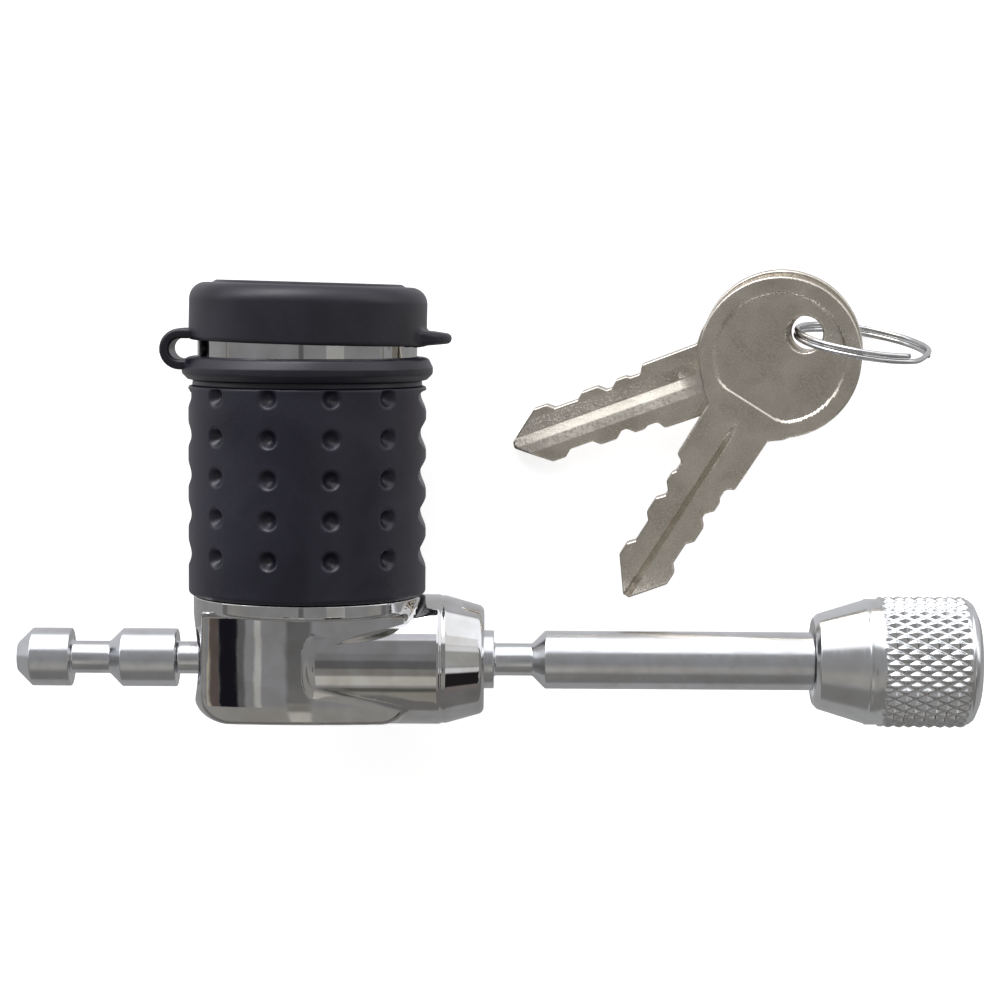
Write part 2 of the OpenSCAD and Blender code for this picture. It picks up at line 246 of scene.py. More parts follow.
def lathe(profile, steps, closed=False):
    """Points and faces of a profile of (radius, height) turned about Z."""
    points, rings, faces = [], [], []
    for radius, height in profile:
        count = steps if radius > 1e-6 else 1
        rings.append(range(len(points), len(points) + count))
        for i in range(count):
            angle = 2 * math.pi * i / steps
            points.append((radius * math.cos(angle), radius * math.sin(angle), height))
    after = rings[1:] + rings[:1] if closed else rings[1:]
    for low, high in zip(rings, after):
        for i in range(steps):
            j = (i + 1) % steps
            corners = [low[i % len(low)], low[j % len(low)]]
            corners += [high[j % len(high)], high[i % len(high)]]
            faces.append(list(dict.fromkeys(corners)))
    return points, faces


def sweep(centres, section, across):
    """Points and faces of a section carried along centres, with closed ends."""
    centres = np.asarray(centres, float)
    across = np.asarray(across, float)
    forward = np.gradient(centres, axis=0)
    forward /= np.linalg.norm(forward, axis=1)[:, None]
    side = np.cross(forward, across)
    side /= np.linalg.norm(side, axis=1)[:, None]
    up = np.cross(side, forward)
    count = len(section)
    points = [c + s * a + u * b for c, s, u in zip(centres, side, up) for a, b in section]
    faces = []
    for i in range(len(centres) - 1):
        for j in range(count):
            k = (j + 1) % count
            faces.append([i * count + j, i * count + k, (i + 1) * count + k, (i + 1) * count + j])
    faces.append(list(range(count))[::-1])
    faces.append([(len(centres) - 1) * count + j for j in range(count)])
    return points, faces


def circle(radius, steps):
    turns = [2 * math.pi * i / steps for i in range(steps)]
    return [(radius * math.cos(t), radius * math.sin(t)) for t in turns]


# ---- Shapes from distance fields ----
# A field is below zero inside the shape and grows by 1 for each millimetre outside it.


def both(a, b, radius=0.0):
    """Where both fields are inside, with the edge between them rounded."""
    if radius == 0:
        return np.maximum(a, b)
    past = np.hypot(np.maximum(radius + a, 0), np.maximum(radius + b, 0))
    return np.minimum(-radius, np.maximum(a, b)) + past


def either(a, b, radius=0.0):
    """Where either field is inside, with a fillet in the corner between them."""
    return -both(-a, -b, radius)


def without(a, b, radius=0.0):
    """The first field with the second cut out, its edge rounded."""
    return both(a, -b, radius)


def slope_of(field, points, step=0.004):
    """Direction and steepness of a field at points."""
    slope = np.empty_like(points)
    for axis in range(3):
        move = np.zeros(3)
        move[axis] = step
        slope[:, axis] = (field(points + move) - field(points - move)) / (2 * step)
    return slope


def settle(field, points, reach):
    """Moves points onto the field's zero surface. Returns them with their normals."""
    for _ in range(4):
        slope = slope_of(field, points)
        steepness = np.maximum((slope**2).sum(1), 0.2)
        move = -slope * (field(points) / steepness)[:, None]
        length = np.maximum(np.linalg.norm(move, axis=1), 1e-9)
        points = points + move * np.minimum(1, reach / length)[:, None]
    slope = slope_of(field, points)
    return points, slope / np.maximum(np.linalg.norm(slope, axis=1), 1e-9)[:, None]


def field_mesh(field, axes):
    """Points and four-sided faces where a field is zero, from its values on a grid."""
    grid = np.stack(np.meshgrid(*axes, indexing="ij"), -1)
    value = field(grid)
    cells = tuple(n - 1 for n in value.shape)
    size = int(np.prod(cells))
    total = np.zeros((size, 3))
    count = np.zeros(size)
    quads = []
    for axis in range(3):
        near = np.take(value, range(cells[axis]), axis)
        far = np.take(value, range(1, cells[axis] + 1), axis)
        crossed = np.argwhere((near < 0) != (far < 0))
        one = np.eye(3, dtype=int)[axis]
        start, end = grid[tuple(crossed.T)], grid[tuple((crossed + one).T)]
        v0, v1 = value[tuple(crossed.T)], value[tuple((crossed + one).T)]
        point = start + (end - start) * (v0 / (v0 - v1))[:, None]
        next_one = np.roll(one, 1)
        last_one = np.roll(one, 2)
        back = [0 * one, next_one, next_one + last_one, last_one]
        around = [np.ravel_multi_index(tuple((crossed - b).T), cells) for b in back]
        for cell in around:
            count += np.bincount(cell, minlength=size)
            for k in range(3):
                total[:, k] += np.bincount(cell, weights=point[:, k], minlength=size)
        faces = np.stack(around, 1)
        quads.append(np.where((v0 < 0)[:, None], faces, faces[:, ::-1]))
    used = count > 0
    number = np.cumsum(used) - 1
    points = total[used] / count[used][:, None]
    return points, number[np.concatenate(quads)]


def thinned(name, points, faces, share):
    """A mesh with a smaller share of its faces, as arrays."""
    mesh = bpy.data.meshes.new(name)
    mesh.from_pydata(points.tolist(), [], faces.tolist())
    obj = bpy.data.objects.new(name, mesh)
    bpy.context.scene.collection.objects.link(obj)
    obj.modifiers.new("thin", "DECIMATE").ratio = share
    result = obj.evaluated_get(bpy.context.evaluated_depsgraph_get()).to_mesh()
    points = np.array([v.co for v in result.vertices], float)
    faces = [list(p.vertices) for p in result.polygons]
    bpy.data.objects.remove(obj)
    bpy.data.meshes.remove(mesh)
    return points, faces


def field_object(name, field, axes, share=1.0, matrix=None):
    """Smooth object of a field's surface, with normals taken from the field itself."""
    points, faces = field_mesh(field, axes)
    cell = max(np.diff(axes[0]).max(), 0.2)
    points, normals = settle(field, points, cell / 2)
    if share < 1:
        points, faces = thinned(name, points, faces, share)
        points, normals = settle(field, points, cell / 4)
    else:
        faces = faces.tolist()
    return new_object(name, points, faces, matrix, normals)


def even(low, high, step):
    return np.arange(low, high + step, step)


# ---- Materials ----


def shader(name, colour, roughness, metallic=0.0, **fixed):
    """A Principled material. fixed are the sockets that are the same all over."""
    material = bpy.data.materials.new(name)
    material.use_nodes = True
    node = material.node_tree.nodes["Principled BSDF"]
    node.inputs["Base Color"].default_value = (*colour, 1)
    node.inputs["Roughness"].default_value = roughness
    node.inputs["Metallic"].default_value = metallic
    for socket, value in fixed.items():
        node.inputs[socket.replace("_", " ")].default_value = value
    return material


def socket_of(material, name):
    return material.node_tree.nodes["Principled BSDF"].inputs[name]


def noise(material, scale, detail=3.0, stretch=(1, 1, 1), distortion=0.0):
    """Noise over the object, scale in grains for each millimetre."""
    tree = material.node_tree
    place = tree.nodes.new("ShaderNodeTexCoord")
    mapping = tree.nodes.new("ShaderNodeMapping")
    mapping.inputs["Scale"].default_value = [s * scale / MM for s in stretch]
    texture = tree.nodes.new("ShaderNodeTexNoise")
    texture.inputs["Scale"].default_value = 1.0
    texture.inputs["Detail"].default_value = detail
    texture.inputs["Distortion"].default_value = distortion
    tree.links.new(place.outputs["Object"], mapping.inputs["Vector"])
    tree.links.new(mapping.outputs["Vector"], texture.inputs["Vector"])
    return texture.outputs["Fac"]


def ranged(material, value, low, high, start=0.35, end=0.65):
    """A value from start to end, taken to low to high."""
    node = material.node_tree.nodes.new("ShaderNodeMapRange")
    node.inputs["From Min"].default_value = start
    node.inputs["From Max"].default_value = end
    node.inputs["To Min"].default_value = low
    node.inputs["To Max"].default_value = high
    material.node_tree.links.new(value, node.inputs["Value"])
    return node.outputs["Result"]


def combine(material, kind, a, b):
    """Two values put together by a Math node."""
    node = material.node_tree.nodes.new("ShaderNodeMath")
    node.operation = kind
    for value, socket in ((a, node.inputs[0]), (b, node.inputs[1])):
        if isinstance(value, (int, float)):
            socket.default_value = value
        else:
            material.node_tree.links.new(value, socket)
    return node.outputs["Value"]


def vary_colour(material, value, first, second):
    """The base colour, going from first to second with a value from 0 to 1."""
    tree = material.node_tree
    mix = tree.nodes.new("ShaderNodeMix")
    mix.data_type = "RGBA"
    mix.inputs["A"].default_value = (*first, 1)
    mix.inputs["B"].default_value = (*second, 1)
    tree.links.new(value, mix.inputs["Factor"])
    tree.links.new(mix.outputs["Result"], socket_of(material, "Base Color"))


def vary_roughness(material, value, low, high):
    roughness = ranged(material, value, low, high)
    material.node_tree.links.new(roughness, socket_of(material, "Roughness"))


def bump(material, height, depth, strength=1.0):
    """Relief from a height of 0 to 1, depth in millimetres."""
    tree = material.node_tree
    node = tree.nodes.new("ShaderNodeBump")
    node.inputs["Strength"].default_value = strength
    node.inputs["Distance"].default_value = depth * MM
    tree.links.new(height, node.inputs["Height"])
    tree.links.new(node.outputs["Normal"], socket_of(material, "Normal"))


def chrome():
    """Bright chrome over a buffed zinc casting, with its faint ripple and small pits."""
    material = shader("chrome", (0.6, 0.6, 0.61), 0.03, 1.0)
    haze = noise(material, 0.35, 4, distortion=0.4)
    vary_roughness(material, haze, 0.012, 0.04)
    ripple = noise(material, 0.22, 1)
    grain = noise(material, 2.5, 3)
    height = combine(material, "ADD", ripple, combine(material, "MULTIPLY", grain, 0.03))
    bump(material, height, 0.05, 0.25)
    vary_colour(material, ranged(material, haze, 0, 1), (0.64, 0.64, 0.65), (0.55, 0.54, 0.53))
    return material


def rubber(name, dark, light, grain_depth):
    """Moulded rubber: near black, satin, with a fine skin and faint dusty patches."""
    material = shader(name, dark, 0.42, Specular_IOR_Level=0.5)
    patches = noise(material, 0.12, 4, distortion=0.6)
    specks = noise(material, 4.0, 2)
    broken = ranged(material, specks, 0.55, 1)
    dust = combine(material, "MULTIPLY", ranged(material, patches, 0, 1), broken)
    vary_colour(material, dust, dark, light)
    vary_roughness(material, patches, 0.33, 0.45)
    bump(material, noise(material, 3.2, 3), grain_depth, 0.5)
    return material


def turned_steel(name, colour, worn, roughness, line_scale):
    """Turned steel: tool lines round the pin's axis, faint stains and rubbed spots."""
    material = shader(name, colour, roughness, 1.0)
    lines = noise(material, line_scale, 3, stretch=(1, 0.02, 0.02))
    stains = noise(material, 0.25, 4, distortion=0.5)
    vary_colour(material, ranged(material, stains, 0, 1, 0.4, 0.75), colour, worn)
    half_lines = combine(material, "MULTIPLY", lines, 0.5)
    half_stains = combine(material, "MULTIPLY", stains, 0.5)
    mixed = combine(material, "ADD", half_lines, half_stains)
    vary_roughness(material, mixed, roughness * 0.75, roughness * 1.35)
    bump(material, lines, 0.006, 0.6)
    return material


def tumbled_nickel():
    """Stamped and tumbled key metal: warm grey, speckled, with small nicks."""
    material = shader("nickel", (0.6, 0.55, 0.48), 0.3, 1.0)
    patches = noise(material, 0.22, 5, distortion=0.5)
    specks = noise(material, 3.0, 3)
    scratches = noise(material, 1.2, 2, stretch=(0.25, 3.0, 1.0), distortion=1.5)
    rubbed = ranged(material, patches, 0.15, 1)
    worn = combine(material, "MULTIPLY", rubbed, ranged(material, specks, 0.3, 1))
    vary_colour(material, worn, (0.8, 0.74, 0.65), (0.52, 0.475, 0.405))
    vary_roughness(material, specks, 0.22, 0.4)
    height = combine(material, "ADD", specks, combine(material, "MULTIPLY", scratches, 0.6))
    bump(material, height, 0.016, 0.55)
    return material


def plain_metal(name, colour, dark, roughness, stretch=(1, 1, 1)):
    """Inner metal pieces: machined or stamped, with fine grain and light staining."""
    material = shader(name, colour, roughness, 1.0)
    grain = noise(material, 1.5, 3, stretch=stretch)
    stains = noise(material, 0.3, 4, distortion=0.4)
    vary_colour(material, ranged(material, stains, 0, 1), colour, dark)
    vary_roughness(material, grain, roughness * 0.8, roughness * 1.3)
    bump(material, grain, 0.01, 0.4)
    return material


CHROME = chrome()
GRIP_RUBBER = rubber("grip_rubber", (0.0055, 0.005, 0.013), (0.0145, 0.0135, 0.026), 0.03)
CAP_RUBBER = rubber("cap_rubber", (0.0055, 0.005, 0.011), (0.015, 0.014, 0.023), 0.02)
SEAL_RUBBER = rubber("seal_rubber", (0.01, 0.01, 0.01), (0.016, 0.016, 0.016), 0.01)
PIN_STEEL = turned_steel("pin_steel", (0.74, 0.75, 0.77), (0.62, 0.62, 0.63), 0.2, 3.0)
KNOB_STEEL = turned_steel("knob_steel", (0.78, 0.79, 0.8), (0.68, 0.68, 0.68), 0.18, 2.5)
RING_STEEL = plain_metal("ring_steel", (0.72, 0.72, 0.72), (0.6, 0.6, 0.6), 0.16)
NICKEL = tumbled_nickel()
BRASS = plain_metal("brass", (0.72, 0.56, 0.3), (0.55, 0.42, 0.22), 0.28)
STEEL = plain_metal("steel", (0.5, 0.5, 0.51), (0.4, 0.39, 0.38), 0.3)
STAINLESS = plain_metal("stainless", (0.64, 0.64, 0.65), (0.55, 0.55, 0.55), 0.22, (6, 1, 0.2))

# ---- Lock body ----


def casting_field(p):
    """The chromed casting, with buffed edges and every bore."""
    x, y, z = p[..., 0], p[..., 1], p[..., 2]
    lock_rho = np.hypot(x, z)
    pin_rho = np.hypot(y, z)
    lower = both(both(lock_rho - body_r, body_bottom - y, body_edge), y - grip_bottom, 0.3)
    tube = both(both(lock_rho - sleeve_bore_r, y - collar_top), -y)
    bevel = (lock_rho - collar_r + y - collar_top + 0.5) / math.sqrt(2)
    collar = both(both(both(lock_rho - collar_r, y - collar_top), collar_bottom - y), bevel)
    stack = either(either(lower, tube), collar)

    crown = 0.007 * (x + 1.5) ** 2 + 0.02 * (flat_top - y) + 0.05 * np.maximum(-4.4 - y, 0) ** 2
    beside = either(np.abs(z) - flat_depth - 0.25 + crown, flat_top - y, 0.4)
    flatted = both(stack, beside, 0.45)

    score = 0.13 * np.exp(-(((x - nose_start) / 0.25) ** 2))
    run = nose_end - nose_start
    drop = barrel_r - nose_r
    cone = ((x - nose_start) * drop + (pin_rho - barrel_r) * run) / math.hypot(run, drop)
    round_bar = np.maximum(pin_rho - barrel_r, cone) + score
    barrel = both(both(round_bar, x - nose_end, 0.6), -x, 1.3)
    solid = either(flatted, barrel, 0.35)

    bore = pin_rho - pin_r - running_gap
    countersink = (bore - tail_countersink + (x + body_r)) / math.sqrt(2)
    solid = without(without(solid, bore, 0.25), countersink, 0.15)
    for seal_x in seal_places:
        solid = without(solid, both(pin_rho - seal_groove_r, np.abs(x - seal_x) - seal_groove_half))
    guide = both(both(lock_rho - guide_r, np.abs(z) - 2.25), both(-y, y - guide_top))
    chamber = both(lock_rho - chamber_r, both(chamber_bottom - y, y - chamber_top))
    seat = both(lock_rho - cylinder_r, cylinder_bottom - y)
    cross_hole = both(np.hypot(x, y - 29) - 1.25, z + 8)
    for hollow in (guide, chamber, seat, cross_hole):
        solid = without(solid, hollow)
    return solid


def lock_casting():
    fine, coarse = 0.26, 0.9
    rows = np.concatenate([
        np.arange(body_low.y - 0.6, grip_bottom + 1, fine),
        np.arange(grip_bottom + 1, collar_bottom - 1, coarse),
        np.arange(collar_bottom - 1, collar_top + 0.6, fine),
    ])
    columns = np.concatenate([
        np.arange(-body_r - 0.6, nose_start - 0.7, fine),
        np.arange(nose_start - 0.7, nose_start + 0.7, fine / 2.5),
        np.arange(nose_start + 0.7, nose_end + 0.8, fine),
    ])
    axes = [columns, rows, even(-body_r - 0.6, body_r + 0.6, fine)]
    obj = field_object("lock_casting", casting_field, axes, share=0.6)
    fit(obj, CHROME, "chrome", "lock_body", "housing")


# ---- Rubber parts ----


def grip():
    """The dimpled sleeve, with finger grooves across its two sides."""
    around, rows = 384, 120
    columns = [math.radians(a) for a in (-45, -15, 15, 45, 135, 165, 195, 225)]
    low, high = grip_bottom + 0.02, grip_top - 0.02
    low_edge, high_edge = 0.55, 0.25
    heights = np.linspace(low + low_edge, high - high_edge, rows)
    outer = [(grip_r, h) for h in heights]
    bottom = []
    for a in np.radians([0, 22, 45, 68]):
        bottom.append((grip_r - low_edge * (1 - math.sin(a)), low + low_edge * (1 - math.cos(a))))
    top = []
    for a in np.radians([30, 60, 90]):
        top.append((grip_r - high_edge * (1 - math.cos(a)), high - high_edge * (1 - math.sin(a))))
    inner = [(sleeve_bore_r + 0.02, high), (sleeve_bore_r + 0.02, low)]
    points, faces = lathe(bottom + outer + top + inner, around, closed=True)
    points = np.array(points)
    turn = np.arctan2(points[:, 0], points[:, 1])
    radius = np.hypot(points[:, 0], points[:, 1])
    sunk = np.full(len(points), grip_r)
    for row in range(dimple_rows):
        rise = points[:, 2] - (dimple_top - row * dimple_pitch)
        wave = 0.5 + 0.5 * np.cos(np.clip(rise / scallop_half, -1, 1) * math.pi)
        groove = scallop_depth * wave**0.8
        groove *= np.clip((high - 0.45 - points[:, 2]) / 0.3, 0, 1)
        side = (grip_r - groove) / np.maximum(np.abs(np.sin(turn)), 0.5)
        sunk = np.minimum(sunk, side)
        for angle in columns:
            off = (turn - angle + math.pi) % (2 * math.pi) - math.pi
            away = np.clip(np.hypot(off * grip_r, rise) / dimple_r, 0, 1)
            sunk = np.minimum(sunk, grip_r - dimple_depth * (1 - away**2) ** 1.1)
    outside = radius > grip_r - 0.02
    factor = np.where(outside, sunk / radius, 1)
    points[:, 0] *= factor
    points[:, 1] *= factor
    obj = new_object("rubber_grip", points, faces, UPRIGHT @ Matrix.Rotation(math.pi, 4, "Z"))
    fit(obj, GRIP_RUBBER, "grip_rubber", "lock_body", "grip_sleeve")


def strap_ring():
    """The rubber ring under the collar: a round bead on a narrower neck."""
    low, high = ring_low.y, ring_high.y
    bore, collar_bore = sleeve_bore_r + 0.02, collar_r + 0.03
    profile = rounded([
        (bore, low + 0.02, 0),
        (cap_ring_r - 1.25, low + 0.02, 0.1),
        (cap_ring_r - 1.35, low + 0.62, 0.2),
        (cap_ring_r - 0.7, low + 0.75, 0.3),
        (cap_ring_r - 0.02, low + 1.45, 0.5),
        (cap_ring_r, low + 2.2, 0.5),
        (cap_ring_r - 0.5, high - 0.25, 0.6),
        (cap_ring_r - 1.1, high - 0.05, 0.3),
        (cap_ring_r - 1.35, high - 0.22, 0.15),
        (cap_ring_r - 1.7, high, 0.2),
        (collar_bore, high - 0.1, 0.05),
        (collar_bore, collar_bottom, 0),
        (bore, collar_bottom, 0),
    ], 5)
    obj = new_object("strap_ring", *lathe(profile, 192, closed=True), UPRIGHT)
    fit(obj, CAP_RUBBER, "cap_rubber", "lock_body", "cap_ring")


def strap():
    """The loop that ties the cap to its ring."""
    turn = [math.radians(a) for a in range(-90, -271, -10)]
    loop = [(strap_x + strap_r * math.cos(a), strap_y + strap_r * math.sin(a), 0) for a in turn]
    tail = [(strap_x + 0.45 * i, strap_y - strap_r, 0) for i in range(5, 0, -1)]
    head = [(strap_x + 0.4 * i, strap_y + strap_r, 0) for i in range(1, 5)]
    half_t, half_w = strap_t / 2, strap_w / 2
    quarters = [(-1, -1), (1, -1), (1, 1), (-1, 1)]
    corners = [(x * half_t, y * half_w, 0.45) for x, y in quarters]
    section = rounded(corners, 4, closed=True)
    obj = new_object("cap_loop", *sweep(tail + loop + head, section, (0, 0, 1)))
    even_normals(obj)
    obj.data.materials.append(CAP_RUBBER)
    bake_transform(obj)
    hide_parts("cap_strap")


def cap_field(p):
    """The dust cap: a soft-edged cup with a raised disc on top and a pull tab."""
    lean = math.radians(cap_lean)
    dx, dy, z = p[..., 0], p[..., 1] - cap_bottom, p[..., 2]
    x = dx * math.cos(lean) - dy * math.sin(lean)
    y = dx * math.sin(lean) + dy * math.cos(lean) + cap_bottom
    rho = np.hypot(x, z)
    cup = both(both(rho - cap_r, y - cap_top + 0.3, 2.0), cap_bottom - y, 0.4)
    disc = both(rho - cap_disc_r, y - cap_top, 0.3)
    cup = either(cup, both(disc, cap_top - 3 - y), 0.25)
    thick = 0.85 - 0.09 * (x - cap_r)
    round_end = np.hypot(x - tab_reach + tab_r, z) - tab_r
    tab = both(round_end, np.abs(y - cap_bottom - 0.95) - thick, 0.5)
    whole = either(cup, both(tab, cap_bore_r + 0.3 - rho), 0.5)
    inside = both(rho - cap_bore_r, y - cap_top + cap_top_t, 0.8)
    return without(whole, inside, 0.25)


def dust_cap():
    step = 0.3
    axes = [
        even(-cap_r - 0.9, tab_reach + 0.9, step),
        even(cap_bottom - 1.2, cap_top + 1.0, step),
        even(-cap_r - 0.9, cap_r + 0.9, step),
    ]
    obj = field_object("cap_shell", cap_field, axes, share=0.7)
    fit(obj, CAP_RUBBER, "cap_rubber", "cap", "dust_cap")


# ---- Pin ----


def pin():
    """The grooved pin, with its edges broken."""
    rise = pin_r - groove_r
    corners = [
        (0, pin_low.x, 0),
        (pin_r - tip_chamfer, pin_low.x, 0.3),
        (pin_r, pin_low.x + tip_chamfer, 0.3),
    ]
    for i in range(groove_count):
        x = first_groove_x + i * groove_pitch
        corners += [
            (pin_r, x, 0.18),
            (groove_r, x, 0.3),
            (groove_r, x + groove_floor, 0.5),
            (pin_r, x + groove_floor + rise, 0.25),
        ]
    corners += [
        (pin_r, knob_low.x, 0.1),
        (tenon_r, knob_low.x, 0.1),
        (tenon_r, pin_high.x, 0.2),
        (0, pin_high.x, 0),
    ]
    obj = new_object("grooved_pin", *lathe(rounded(corners), 160), ALONG_PIN)
    even_normals(obj)
    fit(obj, PIN_STEEL, "pin_steel", "pin", "pin_shank")


def knob():
    """The knob: a cone, a plain band, a diamond knurl and a turned end."""
    diamonds, pitch, depth = 37, 2.47, 0.5
    part = 12
    knurl_start, knurl_end = 7.9, knob_length - 1.75
    shoulder_r = knob_r - 0.32
    front = rounded([
        (tenon_r + 0.02, 0.35, 0),
        (knob_r - 2.75, 0, 0.25),
        (knob_r - 2.15, 0.55, 0.35),
        (shoulder_r - 0.12, 6.1, 0.1),
        (shoulder_r, 6.25, 0.05),
        (shoulder_r, knurl_start - 0.15, 0.1),
    ])
    count = int((knurl_end - knurl_start) * part / pitch)
    band = [(knob_r, knurl_start + (knurl_end - knurl_start) * i / count) for i in range(count + 1)]
    back = rounded([
        (knob_r - 0.35, knurl_end + 0.15, 0),
        (knob_r - 0.4, knurl_end + 0.5, 0.2),
        (knob_r - 0.8, knob_length - 0.75, 0.6),
        (knob_r - 2.2, knob_length - 0.12, 0.9),
        (knob_r - 3.6, knob_length, 0.8),
        (0.9, knob_length - 0.05, 0.2),
        (0.5, knob_length - 0.5, 0.2),
        (0, knob_length - 0.6, 0),
    ])
    tenon_end = pin_high.x - knob_low.x
    bore = [(0, tenon_end + 0.02), (tenon_r + 0.02, tenon_end + 0.02)]
    points, faces = lathe(bore + front + band + back, diamonds * part)
    points = np.array(points)
    radius = np.hypot(points[:, 0], points[:, 1])
    along = points[:, 2]
    turn = np.arctan2(points[:, 1], points[:, 0]) * diamonds / (2 * math.pi)
    height = 1.0
    for way in (-1, 1):
        phase = (turn + way * (along - knurl_start) / pitch) % 1
        height = np.minimum(height, np.minimum(phase, 1 - phase) * 2)
    height = np.minimum(height, 0.9) / 0.9
    fade = np.clip(np.minimum(along - knurl_start, knurl_end - along) / 0.5, 0, 1)
    knurled = radius > knob_r - 0.01
    sunk = knob_r - depth * (1 - height) * fade - 0.12 * (1 - fade)
    factor = np.where(knurled, sunk / np.maximum(radius, 1e-6), 1)
    points[:, 0] *= factor
    points[:, 1] *= factor
    place = Matrix.Translation((knob_low.x, 0, 0)) @ ALONG_PIN
    obj = new_object("knurled_knob", points, faces, place)
    even_normals(obj)
    fit(obj, KNOB_STEEL, "knob_steel", "pin", "pin_knob")


# ---- Keys ----


def polygon_field(x, y, outline):
    """Distance to an outline, below zero inside it."""
    near = np.full(x.shape, 1e9)
    inside = np.zeros(x.shape, bool)
    for (ax, ay), (bx, by) in zip(outline, outline[1:] + outline[:1]):
        ex, ey = bx - ax, by - ay
        wx, wy = x - ax, y - ay
        t = np.clip((wx * ex + wy * ey) / (ex * ex + ey * ey), 0, 1)
        near = np.minimum(near, np.hypot(wx - ex * t, wy - ey * t))
        if ay != by:
            crosses = ((ay > y) != (by > y)) & (x < ex * (y - ay) / (by - ay) + ax)
            inside ^= crosses
    return np.where(inside, -near, near)


def blade_edge(side):
    """One cut edge of the blade from head to tip, drawn in by the radius of its corners."""
    edge = key_blade_half - key_round
    shoulder = key_shoulder_half - key_round
    points = [(-8.0, 5.3), (-9.3, shoulder + 0.1), (key_shoulder_x, shoulder)]
    for middle, floor, depth in key_cuts:
        flank = floor + 0.2 + 0.9 * depth
        points += [(middle + flank, edge), (middle + floor, edge - depth)]
        points += [(middle - floor, edge - depth), (middle - flank, edge)]
    points += [(key_tip_x + 4.4, edge), (key_tip_x + 0.2 + key_round, key_tip_half - key_round)]
    return [(x, side * y) for x, y in points]


def key_outline():
    return [(0, 5.3)] + blade_edge(1) + blade_edge(-1)[::-1] + [(0, -5.3)]


KEY_OUTLINE = key_outline()


def key_field(p):
    """A flat key about its head's centre: rimmed head, ring hole, a groove on each face."""
    x, y, z = p[..., 0], p[..., 1], p[..., 2]
    head = np.hypot(x, y)
    plan = either(head - key_head_r, polygon_field(x, y, KEY_OUTLINE) - key_round, 0.8)
    panel = both(head - key_panel_r, -key_panel_chord - x, 0.6)
    hole = np.hypot(x - key_hole_offset, y + key_hole_side)
    sunk = key_panel_depth * np.clip(0.5 - panel / 0.35, 0, 1)
    runout = np.clip((-9.5 - x) / 3.5, 0, 1)
    narrow = np.where(z > 0, np.clip(0.62 - 1.3 * np.abs(y), 0, 0.55), 0)
    across = y + 0.75
    far_side = np.maximum(0.92 - 0.48 * across, 0.77 - 0.34 * across)
    wide = np.where(z < 0, np.clip(np.minimum(0.92 + 0.53 * across, far_side), 0, 1), 0)
    groove = (narrow + wide) * np.where(x < -key_panel_chord, runout, 0)
    faces = np.abs(z) - key_t / 2 + sunk + groove
    blank = both(plan, faces, 0.22)
    return without(blank, hole - key_hole_r, 0.35)


def key_place(x, turn, step, flipped):
    """Where a key lies: its ring hole on the ring, sloping down beside the lock."""
    place = Matrix.Translation((x, key_y, key_z))
    place = place @ Matrix.Rotation(math.radians(key_slope_turn), 4, "Z")
    place = place @ Matrix.Rotation(math.radians(key_slope), 4, "Y")
    place = place @ Matrix.Translation((0, 0, step * (key_t + key_gap) / 2))
    place = place @ Matrix.Rotation(math.radians(180 + turn - key_slope_turn), 4, "Z")
    if flipped:
        place = place @ Matrix.Rotation(math.pi, 4, "X")
    return place @ Matrix.Translation((-key_hole_offset, key_hole_side, 0))


def keys():
    step = 0.2
    axes = [
        even(key_tip_x - 0.7, key_head_r + 0.7, step),
        even(-key_head_r - 0.7, key_head_r + 0.7, step),
        even(-key_t / 2 - 0.35, key_t / 2 + 0.35, step),
    ]
    for name, place in (
        ("key_1", key_place(key_1_x, key_1_turn, -1, True)),
        ("key_2", key_place(key_2_x, key_2_turn, 1, False)),
    ):
        obj = field_object("cut_" + name, key_field, axes, matrix=place)
        fit(obj, NICKEL, "nickel", name, name)


def split_ring():
    """Nearly two turns of wire, with a crank where it steps across beside its first end."""
    centres = []
    steps = 150
    sweep_degrees = 312 + 360
    crank_start, crank_length = 318, 34
    first_end = 52
    for i in range(steps + 1):
        degrees = sweep_degrees * i / steps
        step = min(max((degrees - crank_start) / crank_length, 0), 1)
        step = step * step * (3 - 2 * step)
        angle = math.radians(degrees + first_end)
        offset = wire_r * 1.04 * (2 * step - 1)
        centres.append((ring_r * math.cos(angle), ring_r * math.sin(angle), offset))
    place = Matrix.Translation(ring_place)
    place = place @ Matrix.Rotation(math.radians(ring_turn), 4, "Z")
    place = place @ Matrix.Rotation(math.radians(ring_lean), 4, "X")
    place = place @ Matrix.Translation((ring_r, 0, 0)) @ Matrix.Rotation(math.radians(90), 4, "X")
    obj = new_object("wire_ring", *sweep(centres, circle(wire_r, 12), (0, 0, 1)), place)
    even_normals(obj)
    fit(obj, RING_STEEL, "ring_steel", "key_ring", "split_ring")


# ---- Springs ----


def coil(radius, wire, low, high, turns, matrix):
    """Points and faces of a round coil of wire about Z."""
    steps = int(turns * 20)
    centres = []
    for i in range(steps + 1):
        angle = 2 * math.pi * turns * i / steps
        rise = low + (high - low) * i / steps
        centres.append((radius * math.cos(angle), radius * math.sin(angle), rise))
    points, faces = sweep(centres, circle(wire, 8), (0, 0, 1))
    turn = np.array(matrix.to_3x3())
    return np.asarray(points) @ turn.T + np.array(matrix.translation), faces


